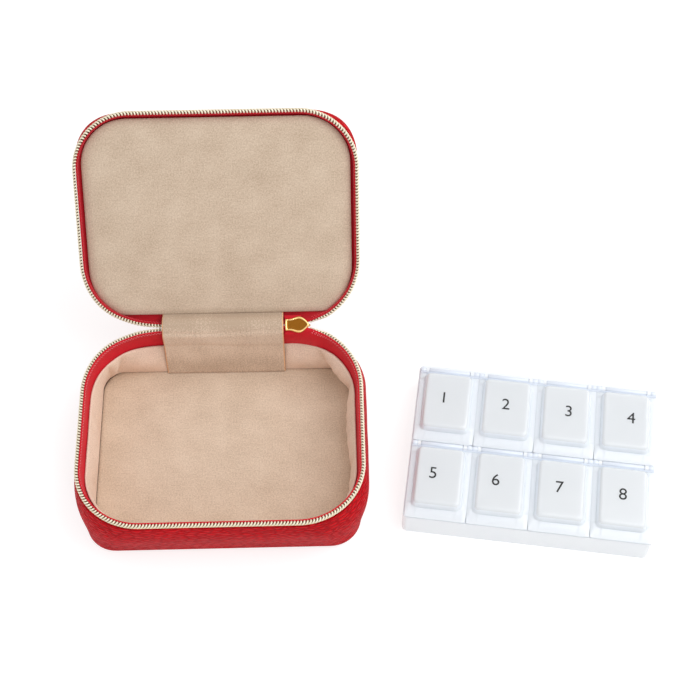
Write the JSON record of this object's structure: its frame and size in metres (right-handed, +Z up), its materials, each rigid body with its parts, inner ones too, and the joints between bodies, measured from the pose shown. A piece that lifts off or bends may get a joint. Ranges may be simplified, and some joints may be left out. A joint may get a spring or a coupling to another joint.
{
  "type": "travel pill box",
  "caption": "Zip-around leather travel case, open on its hinge, with suede lining, zip slider and a loose frosted pill tray whose cells each have a snap lid.",
  "frame": {"origin": "centre of the case's underside, on the surface that it stands on", "axes": "+X along the case towards the loose tray, +Y towards the case's hinge, +Z up"},
  "size_m": [0.2646, 0.1756, 0.1127],
  "materials": {
    "leather": "pebbled, semi-gloss",
    "suede": "short soft nap",
    "board": "grey board",
    "zip_tape": "woven tape",
    "zip_coil": "metallic coated coil",
    "gold": "polished, light gold",
    "frosted": "frosted, translucent white"
  },
  "bodies": {
    "base": {"base_bottom_leather": "leather", "base_side_leather": "leather", "base_bottom_board": "board", "base_wall_stiffener": "board", "base_floor_lining": "suede", "base_wall_lining": "suede", "base_zip_tape": "zip_tape", "base_zip_coil": "zip_coil", "hinge_leather": "leather", "hinge_lining": "suede"},
    "lid": {"lid_top_leather": "leather", "lid_side_leather": "leather", "lid_board": "board", "lid_lining_panel": "suede", "lid_zip_tape": "zip_tape", "lid_zip_coil": "zip_coil"},
    "zip_end": {"zip_end_tape": "zip_tape", "zip_end_coil": "zip_coil"},
    "slider": {"slider_body": "gold"},
    "pull": {"slider_pull": "gold"},
    "organizer": {"organizer_tray": "frosted"},
    "day_lid_1": {"day_lid_1": "frosted"},
    "day_lid_2": {"day_lid_2": "frosted"},
    "day_lid_3": {"day_lid_3": "frosted"},
    "day_lid_4": {"day_lid_4": "frosted"},
    "day_lid_5": {"day_lid_5": "frosted"},
    "day_lid_6": {"day_lid_6": "frosted"},
    "day_lid_7": {"day_lid_7": "frosted"},
    "day_lid_8": {"day_lid_8": "frosted"}
  },
  "joints": [
    {"name": "lid_hinge", "type": "hinge", "parent": "base", "child": "lid", "pos_m": [0, 0.0498, 0.0335], "axis": [1, 0, 0], "range_deg": [-11.6, 128.4], "deforming": ["hinge_leather", "hinge_lining"]},
    {"name": "zip_end_tilt", "type": "hinge", "parent": "base", "child": "zip_end", "pos_m": [0, 0.0498, 0.0335], "axis": [1, 0, 0], "range_deg": [-5.8, 64.2]},
    {"name": "slider_run", "type": "slide", "parent": "zip_end", "child": "slider", "axis": [1, 0, 0], "range_m": [0, 0.005]},
    {"name": "pull_swing", "type": "hinge", "parent": "slider", "child": "pull", "pos_m": [0.038, 0.05135, 0.0303], "axis": [0, 0.9003, 0.4352], "range_deg": [-85, 30]},
    {"name": "organizer_lift", "type": "slide", "parent": "base", "child": "organizer", "axis": [0, 0, 1], "range_m": [0, 0.12]},
    {"name": "day_lid_1_hinge", "type": "hinge", "parent": "organizer", "child": "day_lid_1", "pos_m": [0.10523, 0.03292, 0.0155], "axis": [-0.9888, 0.1495, 0], "range_deg": [0, 115]},
    {"name": "day_lid_2_hinge", "type": "hinge", "parent": "organizer", "child": "day_lid_2", "pos_m": [0.13225, 0.02883, 0.0155], "axis": [-0.9888, 0.1495, 0], "range_deg": [0, 115]},
    {"name": "day_lid_3_hinge", "type": "hinge", "parent": "organizer", "child": "day_lid_3", "pos_m": [0.15927, 0.02475, 0.0155], "axis": [-0.9888, 0.1495, 0], "range_deg": [0, 115]},
    {"name": "day_lid_4_hinge", "type": "hinge", "parent": "organizer", "child": "day_lid_4", "pos_m": [0.18629, 0.02066, 0.0155], "axis": [-0.9888, 0.1495, 0], "range_deg": [0, 115]},
    {"name": "day_lid_5_hinge", "type": "hinge", "parent": "organizer", "child": "day_lid_5", "pos_m": [0.09942, -0.00549, 0.0155], "axis": [-0.9888, 0.1495, 0], "range_deg": [0, 115]},
    {"name": "day_lid_6_hinge", "type": "hinge", "parent": "organizer", "child": "day_lid_6", "pos_m": [0.12644, -0.00958, 0.0155], "axis": [-0.9888, 0.1495, 0], "range_deg": [0, 115]},
    {"name": "day_lid_7_hinge", "type": "hinge", "parent": "organizer", "child": "day_lid_7", "pos_m": [0.15346, -0.01367, 0.0155], "axis": [-0.9888, 0.1495, 0], "range_deg": [0, 115]},
    {"name": "day_lid_8_hinge", "type": "hinge", "parent": "organizer", "child": "day_lid_8", "pos_m": [0.18047, -0.01775, 0.0155], "axis": [-0.9888, 0.1495, 0], "range_deg": [0, 115]}
  ],
  "couplings": [
    {"joint": "zip_end_tilt", "follows": "lid_hinge", "ratio": 0.5}
  ]
}
